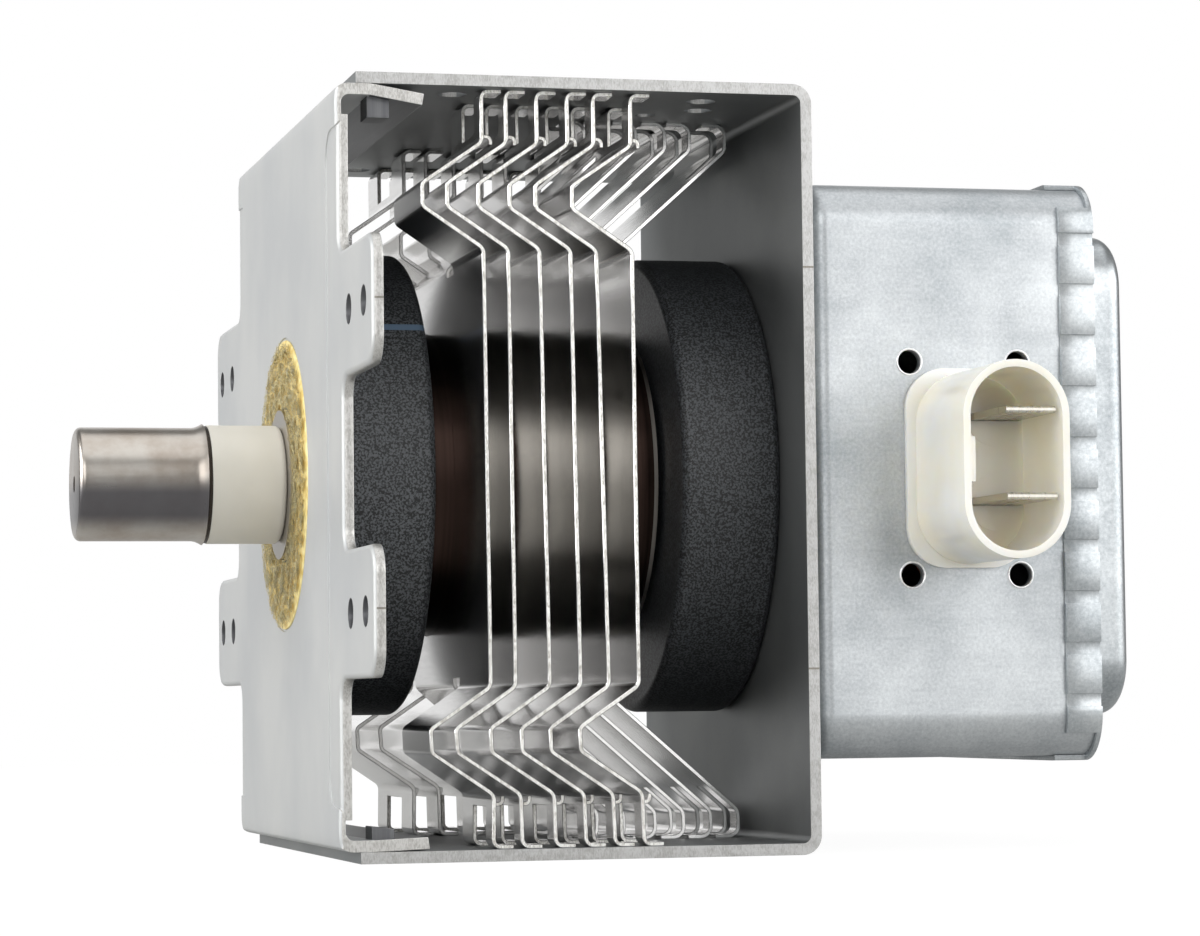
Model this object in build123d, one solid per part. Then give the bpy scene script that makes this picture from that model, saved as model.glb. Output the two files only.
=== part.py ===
from build123d import *
import os

# Magnetron of a microwave oven, in millimetres.
# X is the antenna axis: the antenna points to -X and the filter box lies at +X.
# Y is the depth, +Y away from the open front of the cooling fins, and Z is up.
# The origin is on the antenna axis, in the outer face of the mounting ears.

# Driving dimensions

# steel of the mounting plate and the yoke
steel_sheet = 1.4
bend_outside = 2.4
yoke_depth = 80.0
yoke_height = 94.4
yoke_end_x = 59.2
yoke_start_x = 2.4

# mounting plate
panel_rise = 0.8
panel_half_width = 33.0
panel_flare = 3.6
pocket_margin = 5.2
plate_flange_end_x = 10.7
plate_flange_droop = 1.1
plate_flange_contact_x = 4.2
plate_bore_radius = 10.6
waist_half_width = 42.6
ear_reach = 62.8
ear_width = 15.2
ear_height = 17.8
ear_corner = 3.4
ear_root = 2.6
ear_hole_radius = 1.75
ear_hole_margin = 5.3
ear_hole_pitch = 9.8

# small lugs inside the flanges of the mounting plate
lug_start_x = 3.9
lug_end_x = 6.6
lug_front_y = -38.9
lug_back_y = -34.6
upper_lug_drop = 2.6
lower_lug_drop = 1.6

# magnets
magnet_radius = 29.7
magnet_bore = 12.0
magnet_thickness = 12.6
magnet_chamfer = 0.8

# anode tube
anode_radius = 19.5
anode_wall = 2.6
anode_start_x = 15.2
anode_length = 28.8
vane_count = 10
vane_thickness = 1.9
vane_length = 9.5
vane_tip_radius = 4.6
strap_thickness = 1.0
strap_width = 0.8
small_strap_radius = 5.3
large_strap_radius = 6.6

# pole pieces and seal cups
pole_thickness = 1.6
pole_depth = 6.5
pole_hole_radius = 4.4
pole_face_radius = 7.0
cup_sheet = 0.5
neck_radius = 9.6
neck_end_x = -0.9
stem_neck_radius = 10.6
stem_neck_length = 16.6
stem_neck_lip = 3.0

# antenna
ceramic_radius = 7.6
ceramic_bore = 5.4
ceramic_length = 9.5
ceramic_rounding = 0.8
cap_radius = 7.25
cap_wall = 0.4
cap_tip_x = -27.1
cap_lip_radius = 7.75
cap_lip_length = 1.3
cap_corner = 1.3
cap_hole_radius = 1.05
exhaust_radius = 3.2
exhaust_wall = 0.7
exhaust_length = 13.0
exhaust_flange_radius = 7.5
exhaust_rim_length = 2.0
lead_radius = 0.9
lead_offset = 8.0
lead_bend = 4.0

# gasket ring of the waveguide joint and its seat in the plate
gasket_radius = 18.6
gasket_bore = 10.0
gasket_height = 0.9
gasket_shoulder_height = 0.75
gasket_edge_height = 0.35
gasket_shoulder = 1.2

# cooling fins
fin_sheet = 0.5
fin_places = (17.8, 20.8, 24.7, 28.5, 31.8, 36.5)
fin_collar_length = 2.9
fin_depth = 76.0
fin_bend = 1.1
fin_back_step = 7.4
fin_foot = 2.7
fin_middle_step = 18.0
fin_middle_foot = 2.8

# heights of the folds, measured down from the inside of the yoke
fin_flat_drop = 19.5
fin_back_low_drop = 14.5
fin_back_high_drop = 11.4
fin_rise_drop = 6.3
fin_knee_drop = 3.4
fin_slot_drop = 6.5

# the strips of a fin and their windows, as places in Y
front_strip_end_y = -20.5
front_window = (-34.4, -26.8)
back_strip_start_y = 12.6
back_window = (20.3, 30.8)
middle_strip = (-16.0, 8.5)
middle_slot = (-13.0, -9.7)
hook_rise = 1.3
hook_reach = 2.3
hook_drop = 1.25
hook_bend = 0.8

# cathode
filament_radius = 1.9
filament_bore = 1.4
filament_margin = 0.8
hat_radius = 3.6
hat_thickness = 1.2
centre_lead_radius = 0.75
stem_lead_spacing = 8.0
stem_lead_radius = 0.75
stem_ceramic_radius = 9.6
stem_ceramic_length = 9.0
stem_tab_length = 5.0
cathode_lead_bend = 2.0

# filter box
box_sheet = 0.7
box_depth = 76.8
box_height = 71.4
box_length = 36.4
box_corner = 5.5
box_base_radius = 2.4
lid_sheet = 0.6
lid_skirt = 4.6
lid_skirt_half_z = 32.9
lid_skirt_half_y = 34.0
lid_panel_rise = 6.2
lid_panel_half_y = 33.4
lid_panel_half_z = 30.6
lid_panel_corner = 7.0
lid_panel_edge = 2.2
crimp_pitch = 6.4
crimp_count = 10
crimp_width = 1.6
crimp_depth = 0.45

# connector in the front wall of the filter box
socket_x = 78.9
socket_width = 13.4
socket_height = 23.8
socket_reach = 19.0
socket_wall = 0.9
socket_flange_half_width = 7.85
socket_flange_half_height = 12.35
socket_flange_corner = 5.0
socket_flange_thickness = 1.0
socket_floor = 5.0
socket_pad_radius = 3.6
socket_pad_height = 4.4
socket_rib_half_height = 2.7
socket_rib_reach = 0.9
socket_rib_recess = 1.0
blade_offset_x = 2.2
blade_offset_z = 0.8
blade_spacing = 10.4
blade_width = 6.3
blade_thickness = 0.8
blade_recess = 1.0
blade_inner_length = 6.0
blade_tip_chamfer = 0.24
rivet_hole_radius = 1.45
rivet_spacing_x = 14.1
rivet_spacing_z = 26.4
earth_plate_sheet = 0.6
earth_plate_margin = 2.6
earth_plate_corner = 2.5

# chokes
choke_radius = 4.4
core_radius = 2.9
core_length = 26.0
winding_length = 20.0
choke_x = 82.0
choke_spacing = 19.0
choke_front_y = -24.0
choke_lead_radius = 0.7
choke_lead_straight = 2.0
choke_lead_end = 3.0
choke_lead_bend = 1.5

# holes in the top wall of the yoke, as (x, distance from the middle)
duct_hole_radius = 1.8
duct_hole_places = ((15.5, 33.1), (47.0, 33.1))
locating_hole_radius = 1.75
locating_hole_place = (48.5, 26.0)
small_hole_radius = 1.3
small_hole_place = (42.8, 21.4)

# clearances
fit_gap = 0.05
slide_gap = 0.3

# values worked out from the sizes above

yoke_half_depth = yoke_depth / 2
yoke_half_height = yoke_height / 2
yoke_inside_z = yoke_half_height - steel_sheet
yoke_inside_x = yoke_end_x - steel_sheet
anode_end_x = anode_start_x + anode_length
anode_middle_x = anode_start_x + anode_length / 2
anode_bore = anode_radius - anode_wall
vane_start_x = anode_middle_x - vane_length / 2
vane_end_x = anode_middle_x + vane_length / 2
stem_neck_end_x = anode_end_x + stem_neck_length
stem_lead_end_x = stem_neck_end_x + stem_ceramic_length
ceramic_end_x = neck_end_x - ceramic_length
cap_open_x = ceramic_end_x - cup_sheet
cap_lip_x = cap_open_x - cap_lip_length
gasket_seat_radius = gasket_radius + slide_gap
pocket_half_height = yoke_inside_z - pocket_margin
ear_hole_outer = ear_reach - ear_hole_margin
ear_hole_inner = ear_hole_outer - ear_hole_pitch
fin_half_depth = fin_depth / 2
fin_flat_half = yoke_inside_z - fin_flat_drop
fin_back_low = yoke_inside_z - fin_back_low_drop
fin_back_high = yoke_inside_z - fin_back_high_drop
fin_rise_end = yoke_inside_z - fin_rise_drop
box_start_x = yoke_end_x
box_end_x = box_start_x + box_length
box_front_y = -box_depth / 2
box_half_height = box_height / 2
lid_face_x = box_end_x + lid_sheet
socket_rim_y = box_front_y - socket_reach
socket_floor_y = box_front_y - socket_floor
blade_x = socket_x + blade_offset_x


def cylinder_x(radius, start, end):
    rod = Cylinder(radius, end - start, align=(Align.CENTER, Align.CENTER, Align.MIN))
    return Plane.YZ.offset(start) * rod


def ring_x(outer, inner, start, end):
    return cylinder_x(outer, start, end) - cylinder_x(inner, start, end)


def block(x_from, x_to, y_from, y_to, z_from, z_to):
    middle = ((x_from + x_to) / 2, (y_from + y_to) / 2, (z_from + z_to) / 2)
    return Pos(*middle) * Box(x_to - x_from, y_to - y_from, z_to - z_from)


def turned(points):
    # closed outline of (x, radius) points, turned about the antenna axis
    outline = make_face(Polyline(*[(x, 0, radius) for x, radius in points], close=True))
    return revolve(outline, Axis.X)


def along_y(face, y_from, y_to):
    # face is drawn in (x, z)
    return extrude(Plane.XZ.offset(-y_to) * face, amount=y_to - y_from)


def folded(points, radius, sheet, y_from, y_to, side=Side.LEFT):
    # strip of sheet folded along a line of (x, z) points
    line = FilletPolyline(*points, radius=radius)
    face = make_face(offset(line, amount=sheet, side=side))
    return along_y(face, y_from, y_to)


# mounting plate

def ear_outline():
    # the waist strip and the four ears, drawn in (y, z)
    waist_end = ear_height + ear_width / 2
    waist = Rectangle(2 * waist_half_width, 2 * (ear_height - ear_width / 2) + 2 * ear_root)
    base = Rectangle(yoke_depth, 2 * (pocket_half_height + steel_sheet))
    ears = Sketch()
    for side in (-1, 1):
        ear = Rectangle(2 * ear_reach, ear_width)
        ears += Pos(0, side * ear_height) * ear
    outline = base + waist + ears
    tips = [v for v in outline.vertices() if abs(v.X) > ear_reach - ear_corner]
    outline = fillet(tips, ear_corner)
    waist_limit = waist_half_width + fit_gap
    roots = [v for v in outline.vertices() if abs(v.X) < waist_limit and abs(v.Y) < waist_end + ear_root]
    return fillet(roots, ear_root)


def mounting_plate():
    face_x = -panel_rise
    flange_end_z = yoke_inside_z - plate_flange_droop
    channel = folded(
        [
            (plate_flange_end_x, flange_end_z),
            (plate_flange_contact_x, yoke_inside_z),
            (face_x, yoke_inside_z),
            (face_x, -yoke_inside_z),
            (plate_flange_contact_x, -yoke_inside_z),
            (plate_flange_end_x, -flange_end_z),
        ],
        bend_outside,
        steel_sheet,
        -yoke_half_depth,
        yoke_half_depth,
    )
    pockets = Rectangle(2 * yoke_depth, 2 * pocket_half_height)
    pockets -= Rectangle(2 * panel_half_width, 2 * yoke_height)
    flares = [v for v in pockets.vertices() if abs(v.X) < yoke_half_depth]
    pockets = Plane.YZ.offset(face_x) * fillet(flares, panel_flare)
    channel -= extrude(pockets, amount=panel_rise + steel_sheet)
    overlap = panel_half_width - steel_sheet
    border = Plane.YZ * (ear_outline() - Rectangle(2 * overlap, 2 * pocket_half_height))
    plate = channel + extrude(border, amount=steel_sheet)
    plate += cylinder_x(gasket_seat_radius + steel_sheet, 0, steel_sheet)
    plate -= cylinder_x(gasket_seat_radius, face_x, 0)
    plate -= cylinder_x(plate_bore_radius, face_x, steel_sheet)
    for y in (ear_hole_outer, ear_hole_inner, -ear_hole_inner, -ear_hole_outer):
        for z in (ear_height, -ear_height):
            plate -= Pos(0, y, z) * cylinder_x(ear_hole_radius, face_x, steel_sheet)
    return plate + lug(1, upper_lug_drop) + lug(-1, lower_lug_drop)


def lug(side, drop):
    # a small lug on the inner face of a flange, near its front edge
    root_z = yoke_inside_z - steel_sheet
    z = sorted((side * (root_z + steel_sheet / 4), side * (root_z - drop)))
    return block(lug_start_x, lug_end_x, lug_front_y, lug_back_y, *z)


# yoke and magnets

def yoke_frame():
    frame = folded(
        [
            (yoke_start_x, yoke_half_height),
            (yoke_end_x, yoke_half_height),
            (yoke_end_x, -yoke_half_height),
            (yoke_start_x, -yoke_half_height),
        ],
        bend_outside,
        steel_sheet,
        -yoke_half_depth,
        yoke_half_depth,
        Side.RIGHT,
    )
    frame -= cylinder_x(stem_neck_radius + slide_gap, yoke_inside_x, yoke_end_x)
    holes = [(place, duct_hole_radius) for place in duct_hole_places]
    holes.append((locating_hole_place, locating_hole_radius))
    holes.append((small_hole_place, small_hole_radius))
    for (x, y), radius in holes:
        for side in (-1, 1):
            frame -= Pos(x, side * y, yoke_half_height) * Cylinder(radius, 3 * steel_sheet)
    return frame


def magnet(start):
    ring = ring_x(magnet_radius, magnet_bore, start, start + magnet_thickness)
    rims = [e for e in ring.edges().filter_by(GeomType.CIRCLE) if e.radius > magnet_bore + magnet_chamfer]
    return chamfer(rims, magnet_chamfer)


# anode

def anode_cylinder():
    return ring_x(anode_radius, anode_bore, anode_start_x, anode_end_x)


def anode_vane(index):
    plate = block(
        vane_start_x,
        vane_end_x,
        -vane_thickness / 2,
        vane_thickness / 2,
        vane_tip_radius,
        anode_bore + anode_wall / 2,
    )
    plate &= cylinder_x(anode_bore - fit_gap, vane_start_x, vane_end_x)
    return Rot(360 * index / vane_count, 0, 0) * plate


def strap(radius, side):
    start = vane_end_x if side > 0 else vane_start_x - strap_thickness
    return ring_x(radius + strap_width / 2, radius - strap_width / 2, start, start + strap_thickness)


def pole_piece(side):
    # a dished iron disc: its rim is inside the end of the anode, its middle is pushed in towards the vanes
    rim_x = anode_end_x if side > 0 else anode_start_x
    rim_radius = anode_bore - fit_gap
    cone_radius = pole_face_radius + pole_depth
    outline = [
        (rim_x, rim_radius),
        (rim_x - side * pole_thickness, rim_radius),
        (rim_x - side * pole_thickness, cone_radius),
        (rim_x - side * pole_depth, pole_face_radius),
        (rim_x - side * pole_depth, pole_hole_radius),
        (rim_x - side * (pole_depth - pole_thickness), pole_hole_radius),
        (rim_x - side * (pole_depth - pole_thickness), pole_face_radius - pole_thickness / 2),
        (rim_x, cone_radius - pole_thickness),
    ]
    piece = turned(outline)
    if side < 0:
        piece -= Pos(0, 0, lead_offset) * cylinder_x(2 * lead_radius, rim_x, rim_x + pole_depth)
    return piece


def antenna_seal_cup():
    flange_radius = anode_radius
    outline = [
        (anode_start_x, flange_radius),
        (anode_start_x, neck_radius - cup_sheet),
        (neck_end_x + cup_sheet, neck_radius - cup_sheet),
        (neck_end_x + cup_sheet, ceramic_bore),
        (neck_end_x, ceramic_bore),
        (neck_end_x, neck_radius),
        (anode_start_x - cup_sheet, neck_radius),
        (anode_start_x - cup_sheet, flange_radius),
    ]
    return turned(outline)


def cathode_seal_cup():
    flange_radius = anode_radius
    outline = [
        (anode_end_x, flange_radius),
        (anode_end_x, stem_neck_radius - cup_sheet),
        (stem_neck_end_x - cup_sheet, stem_neck_radius - cup_sheet),
        (stem_neck_end_x - cup_sheet, stem_neck_radius - stem_neck_lip),
        (stem_neck_end_x, stem_neck_radius - stem_neck_lip),
        (stem_neck_end_x, stem_neck_radius),
        (anode_end_x + cup_sheet, stem_neck_radius),
        (anode_end_x + cup_sheet, flange_radius),
    ]
    return turned(outline)


# antenna

def antenna_ceramic():
    tube = ring_x(ceramic_radius, ceramic_bore, ceramic_end_x, neck_end_x)
    outer = [e for e in tube.edges().filter_by(GeomType.CIRCLE) if e.radius > ceramic_bore + fit_gap]
    neck_edge = sorted(outer, key=lambda e: e.center().X)[-1]
    return fillet(neck_edge, ceramic_rounding)


def exhaust_tube():
    # a cup on the end of the ceramic with the pinched tube in its middle
    tip_x = ceramic_end_x - exhaust_length
    rim = cap_radius - cap_wall - fit_gap
    rim_x = cap_lip_x - exhaust_rim_length
    outline = [
        (ceramic_end_x, exhaust_flange_radius),
        (ceramic_end_x, exhaust_radius - exhaust_wall),
        (tip_x + exhaust_wall, exhaust_radius - exhaust_wall),
        (tip_x, 0),
        (tip_x - exhaust_wall, 0),
        (tip_x, exhaust_radius),
        (cap_open_x, exhaust_radius),
        (cap_open_x, rim - cup_sheet),
        (rim_x, rim - cup_sheet),
        (rim_x, rim),
        (cap_open_x, rim),
        (cap_open_x, exhaust_flange_radius),
    ]
    return turned(outline)


def antenna_lead():
    # copper rod from a vane through the pole piece to the tube in the cap
    line = FilletPolyline(
        (vane_start_x, 0, lead_offset),
        (anode_start_x - 2 * lead_radius, 0, lead_offset),
        (neck_end_x + lead_bend, 0, 0),
        (ceramic_end_x - exhaust_length + exhaust_wall, 0, 0),
        radius=lead_bend,
    )
    start = Plane(origin=line @ 0, z_dir=line % 0)
    return sweep(start * Circle(lead_radius), path=line)


def antenna_cap():
    shell = cylinder_x(cap_radius, cap_tip_x, cap_lip_x)
    end_rim = shell.edges().filter_by(GeomType.CIRCLE).sort_by(Axis.X)[0]
    shell = fillet(end_rim, cap_corner)
    inner = cylinder_x(cap_radius - cap_wall, cap_tip_x + cap_wall, cap_lip_x)
    inner_rim = inner.edges().filter_by(GeomType.CIRCLE).sort_by(Axis.X)[0]
    shell -= fillet(inner_rim, cap_corner - cap_wall)
    lip = turned(
        [
            (cap_lip_x, cap_radius),
            (cap_open_x, cap_lip_radius),
            (cap_open_x, cap_lip_radius - cap_wall),
            (cap_lip_x, cap_radius - cap_wall),
        ]
    )
    return shell + lip - cylinder_x(cap_hole_radius, cap_tip_x, cap_tip_x + cap_wall)


def rf_gasket():
    outline = [
        (0, gasket_bore),
        (0, gasket_radius),
        (-gasket_edge_height, gasket_radius),
        (-gasket_shoulder_height, gasket_radius - gasket_shoulder),
        (-gasket_height, (gasket_radius + gasket_bore) / 2),
        (-gasket_shoulder_height, gasket_bore + gasket_shoulder),
        (-gasket_edge_height, gasket_bore),
    ]
    return turned(outline)


# cooling fins

def outer_strip(x, y_from, y_to, window):
    # a strip that bends back and returns, with a window in its top and a hook under the window
    back_x = x - fin_back_step
    foot_x = x + fin_foot
    line = [
        (x, 0),
        (x, fin_flat_half),
        (back_x, fin_back_low),
        (back_x, fin_back_high),
        (x, fin_rise_end),
        (x, yoke_inside_z),
        (foot_x, yoke_inside_z),
    ]
    strip = folded(line, fin_bend, fin_sheet, y_from, y_to, Side.RIGHT)
    hook_z = fin_rise_end + hook_rise
    strip -= block(x - fin_bend, foot_x + fin_sheet, *window, hook_z, yoke_inside_z)
    hook_line = [
        (x, hook_z),
        (x + hook_reach, hook_z),
        (x + hook_reach, hook_z - hook_drop),
    ]
    return strip + folded(hook_line, hook_bend, fin_sheet, *window, Side.RIGHT)


def middle_fin_strip(x):
    # the strip that leans over the filter-side magnet, with a slot in its top
    step_x = x + fin_middle_step
    top = yoke_inside_z - fin_sheet
    line = [
        (x, 0),
        (x, fin_flat_half),
        (step_x, yoke_inside_z - fin_knee_drop),
        (step_x, top),
        (step_x - fin_middle_foot, top),
    ]
    strip = folded(line, fin_bend, fin_sheet, *middle_strip, Side.RIGHT)
    return strip - block(x, step_x + fin_sheet, *middle_slot, yoke_inside_z - fin_slot_drop, yoke_inside_z)


def half_fin(x):
    # the upper half of one fin
    half = block(x, x + fin_sheet, -fin_half_depth, fin_half_depth, 0, fin_flat_half - fin_bend)
    half += outer_strip(x, -fin_half_depth, front_strip_end_y, front_window)
    half += outer_strip(x, back_strip_start_y, fin_half_depth, back_window)
    return half + middle_fin_strip(x)


def cooling_fin(x):
    half = half_fin(x)
    fin = half + mirror(half, Plane.XY)
    hole = anode_radius + fit_gap
    fin -= cylinder_x(hole, x, x + fin_sheet)
    return fin + ring_x(hole + fin_sheet, hole, x, x + fin_collar_length)


# cathode

def filament():
    reach = vane_length / 2 - filament_margin
    return ring_x(filament_radius, filament_bore, anode_middle_x - reach, anode_middle_x + reach)


def end_hat(side):
    reach = vane_length / 2 - filament_margin
    start = anode_middle_x + side * reach
    end = start + side * hat_thickness
    hat = cylinder_x(hat_radius, min(start, end), max(start, end))
    if side > 0:
        hat -= cylinder_x(centre_lead_radius + fit_gap, start, end)
    return hat


def centre_lead():
    reach = vane_length / 2 - filament_margin
    start = anode_middle_x - reach
    straight = anode_end_x + stem_neck_length / 2
    line = FilletPolyline(
        (start, 0, 0),
        (straight, 0, 0),
        (straight + stem_lead_spacing / 2, 0, stem_lead_spacing / 2),
        (stem_lead_end_x, 0, stem_lead_spacing / 2),
        radius=cathode_lead_bend,
    )
    return sweep(Plane(origin=line @ 0, z_dir=line % 0) * Circle(centre_lead_radius), path=line)


def side_lead():
    reach = vane_length / 2 - filament_margin
    start = anode_middle_x + reach + hat_thickness
    offset_z = -hat_radius + stem_lead_radius
    line = FilletPolyline(
        (start, 0, offset_z),
        (stem_neck_end_x - stem_neck_length / 4, 0, offset_z),
        (stem_neck_end_x - 2 * cup_sheet, 0, -stem_lead_spacing / 2),
        (stem_lead_end_x, 0, -stem_lead_spacing / 2),
        radius=cathode_lead_bend,
    )
    return sweep(Plane(origin=line @ 0, z_dir=line % 0) * Circle(stem_lead_radius), path=line)


def stem_ceramic():
    disc = cylinder_x(stem_ceramic_radius, stem_neck_end_x, stem_lead_end_x)
    for side in (-1, 1):
        hole = cylinder_x(stem_lead_radius + fit_gap, stem_neck_end_x, stem_lead_end_x)
        disc -= Pos(0, 0, side * stem_lead_spacing / 2) * hole
    return disc


def stem_terminal(side):
    # flat strap from the stem lead to the end of the choke
    start = stem_lead_end_x
    z_stem = side * stem_lead_spacing / 2
    z_choke = side * choke_spacing / 2
    low = min(z_stem, z_choke) - choke_lead_radius
    high = max(z_stem, z_choke) + choke_lead_radius
    return block(start, start + 2 * choke_lead_radius, -stem_tab_length / 2, stem_tab_length / 2, low, high)


# filter box

def box_outline(inset):
    face = Rectangle(box_depth - 2 * inset, box_height - 2 * inset)
    return Plane.YZ * fillet(face.vertices(), box_corner - inset)


def filter_box():
    solid = extrude(Plane((box_start_x, 0, 0)) * box_outline(0), amount=box_length)
    base = solid.edges().filter_by(lambda e: e.center().X < box_start_x + fit_gap)
    solid = fillet(base, box_base_radius)
    hollow = extrude(Plane((box_start_x + box_sheet, 0, 0)) * box_outline(box_sheet), amount=box_length)
    inner_base = hollow.edges().filter_by(lambda e: e.center().X < box_start_x + box_sheet + fit_gap)
    solid -= fillet(inner_base, box_base_radius - box_sheet)
    solid -= cylinder_x(stem_neck_radius + slide_gap, box_start_x, box_start_x + box_sheet)
    window = socket_outline(-slide_gap)
    solid -= along_y(window, box_front_y, box_front_y + box_sheet)
    return solid - rivet_holes(rivet_hole_radius)


def rivet_holes(radius):
    holes = Part()
    for side_x in (-1, 1):
        for side_z in (-1, 1):
            place = Pos(socket_x + side_x * rivet_spacing_x / 2, box_front_y, side_z * rivet_spacing_z / 2)
            holes += place * Rot(90, 0, 0) * Cylinder(radius, 4 * box_sheet)
    return holes


def filter_lid():
    wall_y = box_depth / 2 + fit_gap
    wall_z = box_half_height + fit_gap
    skirt_from = lid_face_x - lid_skirt
    corner = box_corner + fit_gap + lid_sheet
    outer = Rectangle(2 * (wall_y + lid_sheet), 2 * (wall_z + lid_sheet))
    inner = Rectangle(2 * wall_y, 2 * wall_z)
    outer = fillet(outer.vertices(), corner)
    inner = fillet(inner.vertices(), corner - lid_sheet)
    tray = extrude(Plane.YZ.offset(skirt_from) * outer, amount=lid_skirt)
    tray -= extrude(Plane.YZ.offset(skirt_from) * inner, amount=lid_skirt - lid_sheet)
    for side_y in (-1, 1):
        for side_z in (-1, 1):
            gap_y = sorted((side_y * lid_skirt_half_y, side_y * (wall_y + 2 * lid_sheet)))
            gap_z = sorted((side_z * lid_skirt_half_z, side_z * (wall_z + 2 * lid_sheet)))
            tray -= block(skirt_from, lid_face_x - lid_sheet, *gap_y, *gap_z)
    panel = Rectangle(2 * lid_panel_half_y, 2 * lid_panel_half_z)
    panel = fillet(panel.vertices(), lid_panel_corner)
    raised = extrude(Plane.YZ.offset(box_end_x) * panel, amount=lid_sheet + lid_panel_rise)
    rim = raised.edges().filter_by(lambda e: e.center().X > lid_face_x + lid_panel_rise - fit_gap)
    raised = fillet(rim, lid_panel_edge)
    small = Rectangle(2 * (lid_panel_half_y - lid_sheet), 2 * (lid_panel_half_z - lid_sheet))
    small = fillet(small.vertices(), lid_panel_corner - lid_sheet)
    hollow = extrude(Plane.YZ.offset(box_end_x) * small, amount=lid_panel_rise)
    hollow_rim = hollow.edges().filter_by(lambda e: e.center().X > box_end_x + lid_panel_rise - fit_gap)
    lid = tray + raised - fillet(hollow_rim, lid_panel_edge - lid_sheet)
    return lid - crimp_marks(wall_y + lid_sheet)


def crimp_marks(face_y):
    marks = Part()
    for side in (-1, 1):
        for index in range(crimp_count):
            z = (index - (crimp_count - 1) / 2) * crimp_pitch
            place = Pos(lid_face_x - lid_skirt / 2, side * face_y, z)
            marks += place * Box(lid_skirt, 2 * crimp_depth, crimp_width)
    return marks


# connector

def socket_outline(inset):
    # a slot standing upright, drawn in (x, z)
    width = socket_width - 2 * inset
    length = socket_height - 2 * inset
    return Pos(socket_x, 0) * Rot(0, 0, 90) * SlotOverall(length, width)


def connector_housing():
    body = along_y(socket_outline(0), socket_rim_y, box_front_y)
    cavity = along_y(socket_outline(socket_wall), socket_rim_y, socket_floor_y)
    plug = along_y(socket_outline(0), box_front_y, box_front_y + box_sheet + earth_plate_sheet)
    body = body - cavity + plug + socket_flange()
    inside_x = socket_x - socket_width / 2 + socket_wall
    body += block(
        inside_x - socket_wall / 2,
        inside_x + socket_rib_reach,
        socket_rim_y + socket_rib_recess,
        socket_floor_y,
        -socket_rib_half_height,
        socket_rib_half_height,
    )
    for side in (-1, 1):
        pad = cylinder_y(socket_pad_radius, socket_floor_y - socket_pad_height, socket_floor_y)
        body += Pos(blade_x, 0, blade_z(side)) * pad & cavity
    for side in (-1, 1):
        body -= blade_block(side, fit_gap)
    return body


def socket_flange():
    face = Rectangle(2 * socket_flange_half_width, 2 * socket_flange_half_height)
    face = Pos(socket_x, 0) * fillet(face.vertices(), socket_flange_corner)
    return along_y(face, box_front_y - socket_flange_thickness, box_front_y)


def blade_z(side):
    return blade_offset_z + side * blade_spacing / 2


def blade_block(side, gap):
    z = blade_z(side)
    return block(
        blade_x - blade_width / 2 - gap,
        blade_x + blade_width / 2 + gap,
        socket_rim_y + blade_recess,
        box_front_y + blade_inner_length,
        z - blade_thickness / 2 - gap,
        z + blade_thickness / 2 + gap,
    )


def terminal_blade(side):
    blade = blade_block(side, 0)
    tip_y = socket_rim_y + blade_recess
    tip = [e for e in blade.edges().filter_by(Axis.X) if e.center().Y < tip_y + blade_thickness]
    return chamfer(tip, blade_tip_chamfer)


def earth_plate():
    face = Rectangle(
        rivet_spacing_x + 2 * earth_plate_margin,
        rivet_spacing_z + 2 * earth_plate_margin,
    )
    face = Pos(socket_x, 0) * fillet(face.vertices(), earth_plate_corner)
    inside_y = box_front_y + box_sheet
    plate = along_y(face, inside_y, inside_y + earth_plate_sheet)
    plate -= along_y(socket_outline(-fit_gap), inside_y, inside_y + earth_plate_sheet)
    return plate - rivet_holes(rivet_hole_radius)


# chokes inside the filter box

def choke_axis(side):
    return Pos(choke_x, 0, side * choke_spacing / 2)


def cylinder_y(radius, y_from, y_to):
    return Pos(0, y_from, 0) * Rot(-90, 0, 0) * Cylinder(
        radius, y_to - y_from, align=(Align.CENTER, Align.CENTER, Align.MIN)
    )


def choke_core(side):
    return choke_axis(side) * cylinder_y(core_radius, choke_front_y, choke_front_y + core_length)


def choke_winding(side):
    start = choke_front_y + (core_length - winding_length) / 2
    tube = cylinder_y(choke_radius, start, start + winding_length)
    tube -= cylinder_y(core_radius + fit_gap, start, start + winding_length)
    return choke_axis(side) * tube


def front_choke_lead(side):
    # wire from the winding to the inner end of the terminal blade
    start = choke_front_y + (core_length - winding_length) / 2
    wire_z = side * (choke_spacing / 2 - (core_radius + choke_radius) / 2)
    blade_end_y = box_front_y + blade_inner_length
    line = FilletPolyline(
        (choke_x, start, wire_z),
        (choke_x, choke_front_y - choke_lead_straight, wire_z),
        (blade_x, blade_end_y + choke_lead_end, blade_z(side)),
        (blade_x, blade_end_y, blade_z(side)),
        radius=choke_lead_bend,
    )
    return sweep(Plane(origin=line @ 0, z_dir=line % 0) * Circle(choke_lead_radius), path=line)


def save(part, name):
    export_step(part, os.path.join("parts", name + ".step"))


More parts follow.
